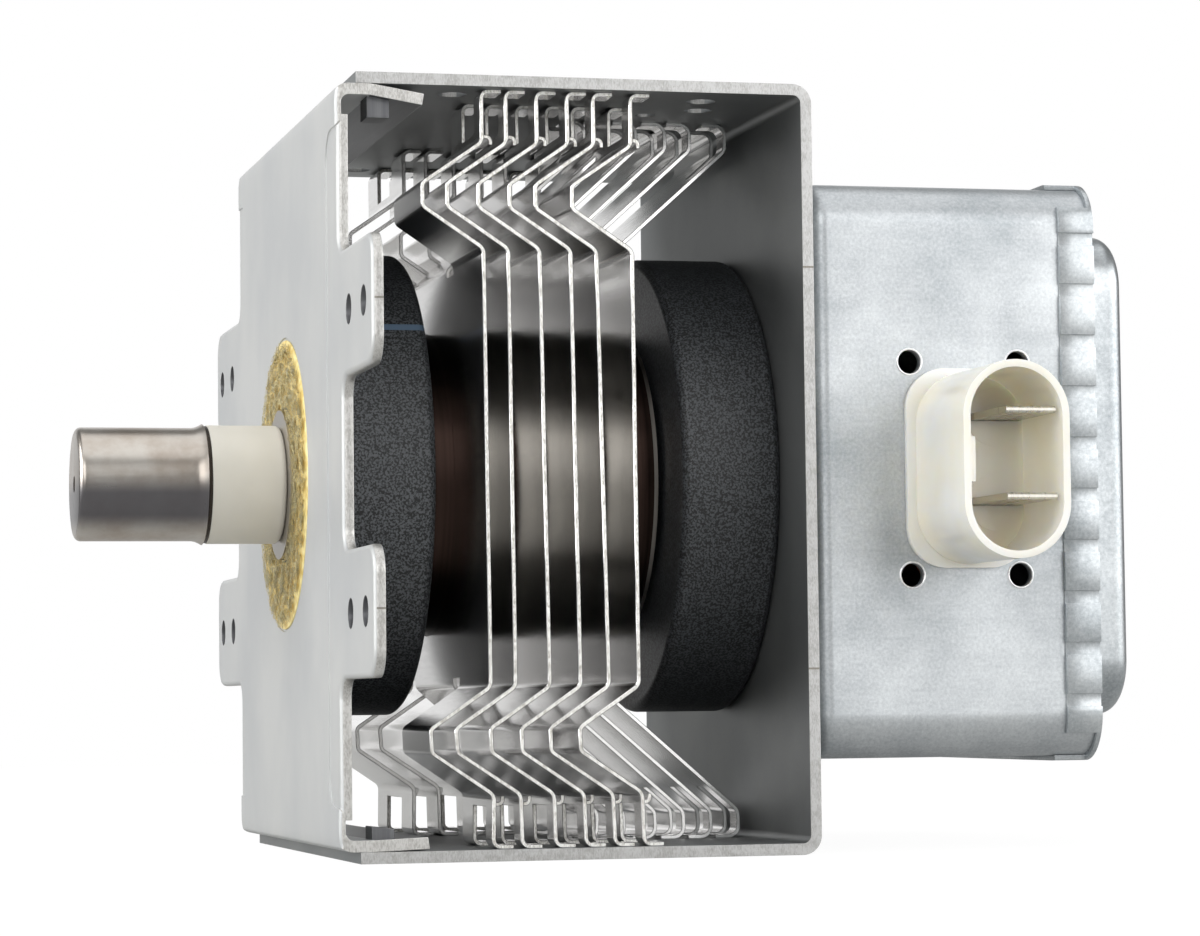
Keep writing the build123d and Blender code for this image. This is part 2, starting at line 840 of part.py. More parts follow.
def build_parts():
    parts = {
        "mounting_plate": mounting_plate(),
        "yoke_frame": yoke_frame(),
        "antenna_side_magnet": magnet(steel_sheet),
        "filter_side_magnet": magnet(yoke_inside_x - magnet_thickness),
        "anode_cylinder": anode_cylinder(),
        "antenna_side_pole_piece": pole_piece(-1),
        "filter_side_pole_piece": pole_piece(1),
        "antenna_seal_cup": antenna_seal_cup(),
        "cathode_seal_cup": cathode_seal_cup(),
        "antenna_ceramic": antenna_ceramic(),
        "exhaust_tube": exhaust_tube(),
        "antenna_lead": antenna_lead(),
        "antenna_cap": antenna_cap(),
        "rf_gasket": rf_gasket(),
        "filament": filament(),
        "antenna_side_end_hat": end_hat(-1),
        "filter_side_end_hat": end_hat(1),
        "centre_cathode_lead": centre_lead(),
        "side_cathode_lead": side_lead(),
        "stem_ceramic": stem_ceramic(),
        "filter_box": filter_box(),
        "filter_lid": filter_lid(),
        "connector_housing": connector_housing(),
        "connector_earth_plate": earth_plate(),
    }
    for index in range(vane_count):
        parts["anode_vane_%02d" % (index + 1)] = anode_vane(index)
    for label, side in (("antenna_side", -1), ("filter_side", 1)):
        parts["small_strap_" + label] = strap(small_strap_radius, side)
        parts["large_strap_" + label] = strap(large_strap_radius, side)
    for index, x in enumerate(fin_places):
        parts["cooling_fin_%d" % (index + 1)] = cooling_fin(x)
    for label, side in (("upper", 1), ("lower", -1)):
        parts["terminal_blade_" + label] = terminal_blade(side)
        parts["choke_core_" + label] = choke_core(side)
        parts["choke_winding_" + label] = choke_winding(side)
        parts["choke_lead_" + label] = front_choke_lead(side)
        parts["stem_terminal_" + label] = stem_terminal(side)
    return parts


os.makedirs("parts", exist_ok=True)
for part_name, solid in build_parts().items():
    save(solid, part_name)
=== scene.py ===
import bpy
import bmesh
import math
import random
from mathutils import Matrix, Vector


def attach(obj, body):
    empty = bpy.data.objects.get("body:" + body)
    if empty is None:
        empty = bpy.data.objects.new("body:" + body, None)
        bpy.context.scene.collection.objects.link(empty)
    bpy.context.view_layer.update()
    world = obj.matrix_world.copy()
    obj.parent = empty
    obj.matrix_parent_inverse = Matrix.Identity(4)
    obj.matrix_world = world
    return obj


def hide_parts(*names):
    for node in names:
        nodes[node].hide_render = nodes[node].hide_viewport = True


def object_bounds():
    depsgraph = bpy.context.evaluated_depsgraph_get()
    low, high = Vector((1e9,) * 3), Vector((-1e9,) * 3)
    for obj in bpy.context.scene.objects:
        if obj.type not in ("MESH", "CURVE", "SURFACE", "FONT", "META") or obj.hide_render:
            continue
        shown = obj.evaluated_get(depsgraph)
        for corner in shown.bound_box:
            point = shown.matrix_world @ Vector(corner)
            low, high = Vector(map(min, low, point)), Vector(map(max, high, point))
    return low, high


# A magnetron of a microwave oven, lying on a pale table.
# X is the antenna axis (antenna at -X), Y is the depth, Z is up, all in metres.

mm = 0.001

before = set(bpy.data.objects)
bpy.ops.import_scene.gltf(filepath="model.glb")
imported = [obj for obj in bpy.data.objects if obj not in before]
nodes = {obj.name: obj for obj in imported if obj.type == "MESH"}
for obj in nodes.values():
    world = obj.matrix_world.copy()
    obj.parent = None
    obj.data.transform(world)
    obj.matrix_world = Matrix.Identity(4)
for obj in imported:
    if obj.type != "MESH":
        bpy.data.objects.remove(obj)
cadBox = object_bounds()
scene = bpy.context.scene
print("frame loaded:", len(nodes), "nodes")


# materials

def srgb(code):
    # hex colour as written on screen, turned to linear light
    channels = [int(code[i:i + 2], 16) / 255 for i in (1, 3, 5)]
    linear = [c / 12.92 if c <= 0.04045 else ((c + 0.055) / 1.055) ** 2.4 for c in channels]
    return (*linear, 1.0)


def addNode(tree, kind, settings=None, **inputs):
    # adds one shader node; an input is a value, or a socket to link from,
    # and goes by its name, or as _6 by its number where names repeat
    node = tree.nodes.new("ShaderNode" + kind)
    for name, value in (settings or {}).items():
        setattr(node, name, value)
    for name, value in inputs.items():
        byNumber = name[1:].isdigit()
        socket = node.inputs[int(name[1:]) if byNumber else name.replace("_", " ")]
        if isinstance(value, bpy.types.NodeSocket):
            tree.links.new(value, socket)
        else:
            socket.default_value = value
    return node


def perMm(size):
    # scale of a pattern whose features are about this many millimetres across
    return 1 / (size * mm)


def startMaterial(name):
    material = bpy.data.materials.new(name)
    material.use_nodes = True
    tree = material.node_tree
    tree.nodes.clear()
    place = addNode(tree, "TexCoord").outputs["Object"]
    return material, tree, place


def finishMaterial(tree, shader):
    addNode(tree, "OutputMaterial", Surface=shader.outputs[0])


def colourRamp(tree, factor, stops):
    # stops are (position, hex colour), in order of position
    ramp = addNode(tree, "ValToRGB", Fac=factor)
    elements = ramp.color_ramp.elements
    while len(elements) < len(stops):
        elements.new(0.5)
    for element, (position, colour) in zip(elements, stops):
        element.position = position
        element.color = srgb(colour)
    return ramp.outputs["Color"]


def zincPlatedSteel(name, light, dark, metallic):
    # cold-rolled sheet with matt clear zinc plate: pale cool grey with a soft sheen,
    # a fine grain and faint broad clouds
    material, tree, place = startMaterial(name)
    clouds = addNode(tree, "TexNoise", Vector=place, Scale=perMm(22), Detail=3)
    grain = addNode(tree, "TexNoise", Vector=place, Scale=perMm(0.45), Detail=4, Roughness=0.7)
    colour = colourRamp(tree, clouds.outputs["Fac"], [(0.35, dark), (0.65, light)])
    roughness = addNode(tree, "MapRange", Value=grain.outputs["Fac"], To_Min=0.42, To_Max=0.54)
    bump = addNode(tree, "Bump", Height=grain.outputs["Fac"], Strength=0.10, Distance=0.02 * mm)
    shader = addNode(tree, "BsdfPrincipled", Base_Color=colour, Metallic=metallic,
                     Roughness=roughness.outputs[0], Normal=bump.outputs[0])
    finishMaterial(tree, shader)
    return material


cutStep = {"halfWidth": 0.12, "colour": "#8d8981"}  # the line where two cuts meet


def shearedEdge(name, light, dark, rough, stepHeight=None):
    # the edge a press tool leaves on sheet: bare, burnished and torn in fine bands;
    # stepHeight is how far above and below the axis two cuts meet
    material, tree, place = startMaterial(name)
    drawn = addNode(tree, "Mapping", Vector=place, Scale=(1, 1, 0.35))
    torn = addNode(tree, "TexNoise", Vector=drawn.outputs[0], Scale=perMm(0.17), Detail=3, Roughness=0.7)
    patches = addNode(tree, "TexNoise", Vector=place, Scale=perMm(1.4), Detail=3)
    mixed = addNode(tree, "Math", {"operation": "MULTIPLY_ADD"}, _0=patches.outputs["Fac"], _1=0.5,
                    _2=torn.outputs["Fac"])
    colour = colourRamp(tree, mixed.outputs[0], [(0.58, dark), (0.84, light)])
    if stepHeight is not None:
        height = addNode(tree, "SeparateXYZ", Vector=place)
        raised = addNode(tree, "Math", {"operation": "ABSOLUTE"}, _0=height.outputs["Z"])
        step = addNode(tree, "Math", {"operation": "COMPARE"}, _0=raised.outputs[0], _1=stepHeight * mm,
                       _2=cutStep["halfWidth"] * mm)
        stepped = addNode(tree, "Mix", {"data_type": "RGBA"}, _0=step.outputs[0], _6=colour,
                          _7=srgb(cutStep["colour"]))
        colour = stepped.outputs[2]
    roughness = addNode(tree, "MapRange", Value=torn.outputs["Fac"], To_Min=rough[0], To_Max=rough[1])
    bump = addNode(tree, "Bump", Height=torn.outputs["Fac"], Strength=0.4, Distance=0.08 * mm)
    shader = addNode(tree, "BsdfPrincipled", Base_Color=colour, Metallic=0.85,
                     Roughness=roughness.outputs[0], Normal=bump.outputs[0])
    finishMaterial(tree, shader)
    return material


def galvanisedSteel(name, dark, middle, light, rough):
    # galvanised sheet after deep drawing: pale cool grey, rolled to a fine grain,
    # with cloudy patches, draw lines and a slight buckle
    material, tree, place = startMaterial(name)
    grain = addNode(tree, "TexNoise", Vector=place, Scale=perMm(0.4), Detail=3, Roughness=0.7)
    clouds = addNode(tree, "TexNoise", Vector=place, Scale=perMm(14), Detail=4, Roughness=0.6)
    waves = addNode(tree, "TexNoise", Vector=place, Scale=perMm(26), Detail=1)
    drawn = addNode(tree, "Mapping", Vector=place, Scale=(0.05, 1, 1))
    lines = addNode(tree, "TexNoise", Vector=drawn.outputs[0], Scale=perMm(0.9), Detail=3,
                    Roughness=0.65)
    soft = addNode(tree, "Math", {"operation": "MULTIPLY"}, _0=clouds.outputs["Fac"], _1=0.6)
    broad = addNode(tree, "Math", {"operation": "MULTIPLY_ADD"}, _0=grain.outputs["Fac"], _1=0.45,
                    _2=soft.outputs[0])
    total = addNode(tree, "Math", {"operation": "MULTIPLY_ADD"}, _0=lines.outputs["Fac"], _1=0.1,
                    _2=broad.outputs[0])
    darkAt, middleAt, lightAt = 0.42, 0.575, 0.72  # on the sum of the patterns
    colour = colourRamp(tree, total.outputs[0], [(darkAt, dark), (middleAt, middle), (lightAt, light)])
    roughness = addNode(tree, "MapRange", Value=total.outputs[0], From_Min=darkAt, From_Max=lightAt,
                        To_Min=rough[1], To_Max=rough[0])
    buckled = addNode(tree, "Bump", Height=waves.outputs["Fac"], Strength=1.0, Distance=0.6 * mm)
    bump = addNode(tree, "Bump", Height=total.outputs[0], Strength=0.22, Distance=0.06 * mm,
                   Normal=buckled.outputs[0])
    shader = addNode(tree, "BsdfPrincipled", Base_Color=colour, Metallic=0.9,
                     Roughness=roughness.outputs[0], Normal=bump.outputs[0])
    finishMaterial(tree, shader)
    return material


paintedRimHighlight = {"halfWidth": 0.38, "colour": "#62788f"}  # a painted highlight: a pale bluish line at one height on the magnet's front half


def sinteredFerrite(name, black, grey, pale, highlightHeight=None):
    # ground strontium ferrite: dark charcoal grey with black specks a third of a millimetre across
    material, tree, place = startMaterial(name)
    grains = addNode(tree, "TexVoronoi", {"feature": "DISTANCE_TO_EDGE"}, Vector=place,
                     Scale=perMm(0.42))
    specks = addNode(tree, "TexNoise", Vector=place, Scale=perMm(0.28), Detail=2.5, Roughness=0.6)
    mixed = addNode(tree, "Math", {"operation": "MULTIPLY_ADD"}, _0=grains.outputs["Distance"],
                    _1=0.45, _2=specks.outputs["Fac"])
    colour = colourRamp(tree, mixed.outputs[0], [(0.50, black), (0.54, grey), (0.64, pale)])
    # painted highlight: a pale bluish line at the given height, on the front half only
    if highlightHeight is not None:
        height = addNode(tree, "SeparateXYZ", Vector=place)
        onLine = addNode(tree, "Math", {"operation": "COMPARE"}, _0=height.outputs["Z"],
                         _1=highlightHeight * mm, _2=paintedRimHighlight["halfWidth"] * mm)
        front = addNode(tree, "Math", {"operation": "LESS_THAN"}, _0=height.outputs["Y"], _1=0.0)
        both = addNode(tree, "Math", {"operation": "MULTIPLY"}, _0=onLine.outputs[0],
                       _1=front.outputs[0])
        highlighted = addNode(tree, "Mix", {"data_type": "RGBA"}, _0=both.outputs[0], _6=colour,
                         _7=srgb(paintedRimHighlight["colour"]))
        colour = highlighted.outputs[2]
    bump = addNode(tree, "Bump", Height=specks.outputs["Fac"], Strength=0.25, Distance=0.04 * mm)
    shader = addNode(tree, "BsdfPrincipled", Base_Color=colour, Metallic=0.0, Roughness=0.5,
                     Normal=bump.outputs[0])
    finishMaterial(tree, shader)
    return material


def polishedAluminium(name, colour, rough, metallic=1.0):
    # bright rolled aluminium sheet: mirror-like with faint streaks along the rolling direction
    material, tree, place = startMaterial(name)
    stretched = addNode(tree, "Mapping", Vector=place, Scale=(1, 0.08, 1))
    streaks = addNode(tree, "TexNoise", Vector=stretched.outputs[0], Scale=perMm(0.5), Detail=3)
    roughness = addNode(tree, "MapRange", Value=streaks.outputs["Fac"], To_Min=rough[0], To_Max=rough[1])
    bump = addNode(tree, "Bump", Height=streaks.outputs["Fac"], Strength=0.05, Distance=0.01 * mm)
    shader = addNode(tree, "BsdfPrincipled", Base_Color=srgb(colour), Metallic=metallic,
                     Roughness=roughness.outputs[0], Normal=bump.outputs[0])
    finishMaterial(tree, shader)
    return material


def turnedMetal(name, light, dark, rough, pitch):
    # a turned part: fine rings round the X axis, seen as bands along X, pitch millimetres apart
    material, tree, place = startMaterial(name)
    along = addNode(tree, "Mapping", Vector=place, Scale=(1, 0.02, 0.02))
    rings = addNode(tree, "TexNoise", Vector=along.outputs[0], Scale=perMm(pitch), Detail=4)
    colour = colourRamp(tree, rings.outputs["Fac"], [(0.3, dark), (0.7, light)])
    roughness = addNode(tree, "MapRange", Value=rings.outputs["Fac"], To_Min=rough[0], To_Max=rough[1])
    bump = addNode(tree, "Bump", Height=rings.outputs["Fac"], Strength=0.15, Distance=0.02 * mm)
    shader = addNode(tree, "BsdfPrincipled", Base_Color=colour, Metallic=1.0,
                     Roughness=roughness.outputs[0], Normal=bump.outputs[0])
    finishMaterial(tree, shader)
    return material


paintedReflectionBand = {  # painted reflection: a darker band painted round the cap below its middle; heights in mm
    "middle": -2.8, "fullWithin": 1.2, "goneBeyond": 4.0, "share": 0.9, "colour": "#5a595e",
}


def drawnNickelSteelPaintedReflection(band):
    # deep-drawn nickel-plated cap: warm grey, soft mirror, hairlines along the draw, a few stains, and a
    # painted reflection: a darker band below its middle
    material, tree, place = startMaterial("drawnNickelSteelPaintedReflection")
    along = addNode(tree, "Mapping", Vector=place, Scale=(0.05, 1, 1))
    hairs = addNode(tree, "TexNoise", Vector=along.outputs[0], Scale=perMm(0.5), Detail=4, Roughness=0.6)
    stains = addNode(tree, "TexNoise", Vector=place, Scale=perMm(5), Detail=4, Roughness=0.6)
    plain = colourRamp(tree, stains.outputs["Fac"], [(0.35, "#b0a69c"), (0.62, "#c4bfb8")])
    # painted reflection: near the band's height the colour is mixed towards a dark grey
    height = addNode(tree, "SeparateXYZ", Vector=place)
    off = addNode(tree, "Math", {"operation": "SUBTRACT"}, _0=height.outputs["Z"],
                  _1=band["middle"] * mm)
    away = addNode(tree, "Math", {"operation": "ABSOLUTE"}, _0=off.outputs[0])
    share = addNode(tree, "MapRange", {"interpolation_type": "SMOOTHSTEP"}, Value=away.outputs[0],
                    From_Min=band["fullWithin"] * mm, From_Max=band["goneBeyond"] * mm,
                    To_Min=band["share"], To_Max=0.0)
    darkened = addNode(tree, "Mix", {"data_type": "RGBA"}, _0=share.outputs[0], _6=plain,
                       _7=srgb(band["colour"]))
    roughness = addNode(tree, "MapRange", Value=hairs.outputs["Fac"], To_Min=0.24, To_Max=0.36)
    bump = addNode(tree, "Bump", Height=hairs.outputs["Fac"], Strength=0.06, Distance=0.02 * mm)
    shader = addNode(tree, "BsdfPrincipled", Base_Color=darkened.outputs[2], Metallic=1.0,
                     Roughness=roughness.outputs[0], Normal=bump.outputs[0])
    finishMaterial(tree, shader)
    return material


def aluminaCeramic():
    # fired alumina tube: greyish cream, faintly cloudy, with a fine matt grain
    material, tree, place = startMaterial("aluminaCeramic")
    grain = addNode(tree, "TexNoise", Vector=place, Scale=perMm(0.4), Detail=3)
    clouds = addNode(tree, "TexNoise", Vector=place, Scale=perMm(7), Detail=2)
    colour = colourRamp(tree, clouds.outputs["Fac"], [(0.3, "#d8d5cc"), (0.7, "#e1ded6")])
    bump = addNode(tree, "Bump", Height=grain.outputs["Fac"], Strength=0.12, Distance=0.02 * mm)
    shader = addNode(tree, "BsdfPrincipled", Base_Color=colour, Roughness=0.5, IOR=1.6,
                     Normal=bump.outputs[0])
    finishMaterial(tree, shader)
    return material


def brassWire(name, light, dark, roughness):
    # hard-drawn brass wire: slightly tarnished and only partly metallic, because the real mesh
    # glitters from all sides in points too fine to render; its pale yellow is painted light for that
    # glitter
    material, tree, place = startMaterial(name)
    tarnish = addNode(tree, "TexNoise", Vector=place, Scale=perMm(1.6), Detail=4)
    colour = colourRamp(tree, tarnish.outputs["Fac"], [(0.35, dark), (0.62, light)])
    bump = addNode(tree, "Bump", Height=tarnish.outputs["Fac"], Strength=0.2, Distance=0.05 * mm)
    shader = addNode(tree, "BsdfPrincipled", Base_Color=colour, Metallic=0.25, Roughness=roughness,
                     Normal=bump.outputs[0])
    finishMaterial(tree, shader)
    return material


def mouldedPlastic():
    # injection-moulded cream polyester: glossy, warm white, with soft flow marks
    material, tree, place = startMaterial("mouldedPolyester")
    flow = addNode(tree, "TexNoise", Vector=place, Scale=perMm(9), Detail=2)
    colour = colourRamp(tree, flow.outputs["Fac"], [(0.35, "#f7f0e1"), (0.65, "#fbf7ee")])
    ripple = addNode(tree, "TexNoise", Vector=place, Scale=perMm(2.5), Detail=1)
    bump = addNode(tree, "Bump", Height=ripple.outputs["Fac"], Strength=0.05, Distance=0.1 * mm)
    shader = addNode(tree, "BsdfPrincipled", Base_Color=colour, Roughness=0.2, IOR=1.55,
                     Subsurface_Weight=0.7, Subsurface_Scale=2.5 * mm,
                     Subsurface_Radius=(1.0, 0.85, 0.6), Normal=bump.outputs[0])
    finishMaterial(tree, shader)
    return material


plateZinc = zincPlatedSteel("zincPlatedSteel", "#c9cac9", "#bec0c1", metallic=0.4)
# painted shade: the yoke frame is the plate's zinc-plated steel, coloured darker for the shade inside it
yokeZincShaded = zincPlatedSteel("zincPlatedSteelPaintedShade", "#9a9c9c", "#8c8f90", metallic=0.9)
plateEdge = shearedEdge("shearedPlateEdge", "#d2d1ce", "#b1afab", rough=(0.30, 0.45), stepHeight=17.6)
yokeEdge = shearedEdge("shearedYokeEdge", "#c4c4c3", "#a9a8a6", rough=(0.30, 0.45), stepHeight=24.6)
finEdgeBare = shearedEdge("shearedFinEdge", "#fbfaf6", "#c2bfb8", rough=(0.22, 0.40))
# painted highlight: the rivet hole rims are coloured near white
holeRimHighlight = shearedEdge("pressedHoleRimPaintedHighlight", "#ffffff", "#e0e2e3", rough=(0.3, 0.4))
galvanised = galvanisedSteel("galvanisedSteel", "#a9afb3", "#c0c4c7", "#d2d6d8", rough=(0.36, 0.48))
rolledLid = galvanisedSteel("rolledGalvanisedSteel", "#9ca2a6", "#b6bbbe", "#ccd0d2", rough=(0.30, 0.42))
# painted light and shade: both magnets are one ferrite, coloured lighter on the antenna side and darker
# on the filter side
ferrite = sinteredFerrite("sinteredFerrite", "#0c0d0e", "#292b2e", "#474a4d")
ferritePaintedHighlight = sinteredFerrite("sinteredFerritePaintedHighlight", "#101113", "#383a3d", "#595c5f", highlightHeight=18.2)
finSheet = polishedAluminium("polishedAluminium", "#eae9e8", rough=(0.13, 0.23))
# painted light: the drawn collars are the fin aluminium, rougher from the draw and coloured lighter and
# warmer for the light between the fins
collarSheetLit = polishedAluminium("drawnAluminiumPaintedLight", "#f4efe6", rough=(0.34, 0.42), metallic=0.75)
# painted shade: brown copper, coloured darker still for the shade it lies in between the fins
copperShaded = turnedMetal("turnedCopperPaintedShade", "#41332e", "#241d1a", rough=(0.25, 0.40), pitch=0.8)
brazed = turnedMetal("brazedJoint", "#5b544d", "#332e2a", rough=(0.35, 0.50), pitch=0.5)
nickel = turnedMetal("turnedNickelSteel", "#bdb8b0", "#a39e97", rough=(0.26, 0.38), pitch=0.35)
capSteel = drawnNickelSteelPaintedReflection(paintedReflectionBand)
iron = turnedMetal("machinedIron", "#7c7d7f", "#66676a", rough=(0.35, 0.50), pitch=0.5)
molybdenum = turnedMetal("drawnMolybdenum", "#8b8c90", "#77787c", rough=(0.35, 0.50), pitch=0.5)
tungsten = turnedMetal("drawnTungsten", "#67686b", "#55565a", rough=(0.40, 0.55), pitch=0.5)
enamelWire = turnedMetal("enamelledCopper", "#a3562c", "#7c3f20", rough=(0.22, 0.35), pitch=1.4)
tinnedBlade = turnedMetal("tinnedBrass", "#d3d0c8", "#bcb9b1", rough=(0.22, 0.34), pitch=0.4)
ceramic = aluminaCeramic()
brass = brassWire("brassWire", "#fff8d2", "#ffedaa", roughness=0.25)
brassCore = brassWire("brassWireInside", "#ffefb0", "#dfc472", roughness=0.5)
plastic = mouldedPlastic()
print("materials made")

finishes = {
    "mounting_plate": plateZinc,
    "yoke_frame": yokeZincShaded,
    "antenna_side_magnet": ferritePaintedHighlight,
    "filter_side_magnet": ferrite,
    "anode_cylinder": copperShaded,
    "antenna_side_pole_piece": iron,
    "filter_side_pole_piece": iron,
    "antenna_seal_cup": nickel,
    "cathode_seal_cup": nickel,
    "antenna_ceramic": ceramic,
    "exhaust_tube": brazed,
    "antenna_lead": copperShaded,
    "antenna_cap": capSteel,
    "rf_gasket": brassCore,
    "filament": tungsten,
    "stem_ceramic": ceramic,
    "filter_box": galvanised,
    "filter_lid": rolledLid,
    "connector_housing": plastic,
    "connector_earth_plate": galvanised,
}
finishStarts = {
    "anode_vane": copperShaded,
    "small_strap": copperShaded,
    "large_strap": copperShaded,
    "cooling_fin": finSheet,
    "terminal_blade": tinnedBlade,
    "choke_core": ferrite,
    "choke_winding": enamelWire,
    "choke_lead": enamelWire,
    "stem_terminal": nickel,
    "antenna_side_end_hat": molybdenum,
    "filter_side_end_hat": molybdenum,
    "centre_cathode_lead": molybdenum,
    "side_cathode_lead": molybdenum,
}


def finishOf(name):
    if name in finishes:
        return finishes[name]
    return next(material for start, material in finishStarts.items() if name.startswith(start))


# pieces taken from the frame, with their sheared and moulded edges eased


def standFor(piece, nodeName):
    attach(piece, "root")
    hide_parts(nodeName)


def shadeSmooth(shape):
    for face in shape.faces:
        face.smooth = True


def shadeByAngle(shape, smoothAngle):
    shadeSmooth(shape)
    for edge in shape.edges:
        edge.smooth = not edge.is_manifold or edge.calc_face_angle() < smoothAngle


def addPiece(name, shape, materials):
    mesh = bpy.data.meshes.new(name)
    shape.to_mesh(mesh)
    shape.free()
    for material in materials:
        mesh.materials.append(material)
    piece = bpy.data.objects.new(name, mesh)
    scene.collection.objects.link(piece)
    return piece


# where the nodes have holes, cut edges and collars, in mm

earHoles = {"y": (47.7, 57.5), "z": 17.8, "reach": 1.8}
plateCuts = {
    "lugX": (3.8, 6.7), "lugZ": (41.7, 44.35),  # the small lugs inside its flanges
    "endsY": 39.4, "flangeEndX": 9,  # past these are the cut ends
    "webX": (-0.9, 1.5), "tilt": 0.35,  # a cut round an ear lies here and hardly faces along X
    "outerX": 0.05, "earsY": 37,  # the ears' outer side lies short of one and past the other
}
finCuts = {
    "endsY": 21,  # past this are the cut ends
    "collarRadius": 20.6, "tilt": 0.6,  # a collar lies within one and faces along X less than the other
}
rivetHoles = {
    "x": (71.85, 85.95), "z": (-13.2, 13.2), "y": -38.4, "radius": 1.45, "depth": 0.75,
    "rim": 0.33, "segments": 3, "slack": 0.05,  # the rounding round each hole, found within the slack
}
squareOn = 0.9  # a face looks along an axis when its normal has at least this much of it
touching = 0.01  # a point nearer than this to a plane lies in it


def earHoleDistance(point):
    # from the axis of the nearest hole in an ear
    return min(math.hypot(abs(point.y) / mm - y, abs(point.z) / mm - earHoles["z"])
               for y in earHoles["y"])


def rivetHoleDistance(point):
    # from the axis of the nearest rivet hole beside the connector
    return min(math.hypot(point.x / mm - x, point.z / mm - z)
               for x in rivetHoles["x"] for z in rivetHoles["z"])


def sideCut(face):
    # the front and back ends of folded sheet
    return abs(face.normal.y) > squareOn


def outlineCut(face):
    # 1 on the cut edges of the mounting plate, 2 in the ears' holes and on the lugs
    middle = face.calc_center_median()
    if earHoleDistance(middle) < earHoles["reach"]:
        return 2
    x, y, z = middle / mm
    lugStart, lugEnd = plateCuts["lugX"]
    lugLow, lugHigh = plateCuts["lugZ"]
    if lugStart < x < lugEnd and lugLow < abs(z) < lugHigh:
        return 2
    webStart, webEnd = plateCuts["webX"]
    roundEars = abs(face.normal.x) < plateCuts["tilt"] and webStart < x < webEnd
    if abs(y) > plateCuts["endsY"] and (sideCut(face) or roundEars):
        return 1
    return int(face.normal.x > squareOn and x > plateCuts["flangeEndX"])


def finCut(face):
    # 1 on the cut ends, 2 on the drawn collar round the anode
    middle = face.calc_center_median() / mm
    if sideCut(face) and abs(middle.y) > finCuts["endsY"]:
        return 1
    drawn = abs(face.normal.x) < finCuts["tilt"]
    return 2 * int(drawn and math.hypot(middle.y, middle.z) < finCuts["collarRadius"])


def rivetRimHighlight(face):
    # 1 on the pressed rims of the rivet holes, which are painted near white as a highlight
    middle = face.calc_center_median()
    if abs(middle.y / mm - rivetHoles["y"]) > rivetHoles["depth"]:
        return 0
    return int(rivetHoleDistance(middle) < rivetHoles["radius"] + rivetHoles["rim"])


def onRivetRim(edge):
    flush = all(abs(v.co.y / mm - rivetHoles["y"]) < touching for v in edge.verts)
    off = abs(rivetHoleDistance(edge.verts[0].co) - rivetHoles["radius"])
    return flush and off < rivetHoles["slack"]


def onOuterCut(edge):
    # round the ears on the outer side of the plate, but not in their holes
    outside = all(v.co.x / mm < plateCuts["outerX"] and abs(v.co.y) / mm > plateCuts["earsY"]
                  for v in edge.verts)
    return outside and earHoleDistance(edge.verts[0].co) >= earHoles["reach"]


def flattenFront(shape, settings):
    # brings what stands out towards the antenna closer to the outer face of the ears
    for vert in shape.verts:
        if vert.co.x < settings["pastX"] * mm:
            vert.co.x *= settings["kept"]


def sinkPads(shape, settings):
    # the photograph shows a plain connector floor, so its two pads are sunk almost flush
    for vert in shape.verts:
        if abs(vert.co.y / mm - settings["topY"]) < touching:
            vert.co.y = settings["lowY"] * mm


def leanSheet(shape, lean):
    # moves the sheet along X by amounts given at a few heights
    for vert in shape.verts:
        z = vert.co.z / mm
        for (high, first), (low, second) in zip(lean, lean[1:]):
            if low <= z <= high:
                vert.co.x += (first + (second - first) * (high - z) / (high - low)) * mm
                break


def flattenTongue(shape, settings):
    # the lower tongue of the plate lies flatter than the upper one
    for vert in shape.verts:
        if vert.co.z < settings["below"] * mm and vert.co.x > settings["fromX"] * mm:
            vert.co.z -= settings["slope"] * (vert.co.x - settings["fromX"] * mm)


nodeMesh = {"merge": 0.002, "flatAngle": math.radians(0.6)}


def mergedNode(nodeName, settings):
    # the node's own shape as one clean shell
    shape = bmesh.new()
    shape.from_mesh(nodes[nodeName].data)
    bmesh.ops.remove_doubles(shape, verts=shape.verts, dist=settings["merge"] * mm)
    bmesh.ops.dissolve_limit(shape, angle_limit=settings["flatAngle"], verts=shape.verts,
                             edges=shape.edges, use_dissolve_boundaries=False)
    bmesh.ops.recalc_face_normals(shape, faces=shape.faces)
    return shape


def sharpEdges(shape, settings):
    return [e for e in shape.edges if e.is_manifold and e.calc_face_angle() > settings["sharpAngle"]]


def roundEdges(shape, edges, width, segments, clamped=True):
    bmesh.ops.bevel(shape, geom=edges, affect="EDGES", offset=width * mm, offset_type="OFFSET",
                    segments=segments, profile=0.5, material=-1, clamp_overlap=clamped)


def easedCopy(nodeName, settings):
    # the node's own shape with small rounded edges; its cut edges get their own bare finish
    shape = mergedNode(nodeName, nodeMesh)
    if settings.get("holeRims"):
        rims = [e for e in sharpEdges(shape, settings) if onRivetRim(e)]
        roundEdges(shape, rims, rivetHoles["rim"], rivetHoles["segments"])
    if "flattened" in settings:
        flattenFront(shape, settings["flattened"])
    if "dieRoll" in settings:
        # the press tool draws the outer side of the sheet in, so its edge is rounder
        outer = [e for e in sharpEdges(shape, settings) if onOuterCut(e)]
        roundEdges(shape, outer, **settings["dieRoll"], clamped=False)
    if "pads" in settings:
        sinkPads(shape, settings["pads"])
    if "lean" in settings:
        leanSheet(shape, settings["lean"])
    if "tongue" in settings:
        flattenTongue(shape, settings["tongue"])
    roundEdges(shape, sharpEdges(shape, settings), settings["easing"], settings["segments"])
    shadeByAngle(shape, settings["smoothAngle"])
    materials = [finishOf(nodeName)]
    if "cutFinish" in settings:
        # isCut gives each face 0 for the plain finish, 1 for cutFinish or 2 for thirdFinish
        materials += [settings["cutFinish"], settings.get("thirdFinish", iron)]
        shape.normal_update()
        for face in shape.faces:
            face.material_index = int(settings["isCut"](face))
    piece = addPiece(nodeName + "_eased", shape, materials)
    if not settings.get("pillowed"):
        piece.modifiers.new("weightedNormals", "WEIGHTED_NORMAL").keep_sharp = True
    standFor(piece, nodeName)


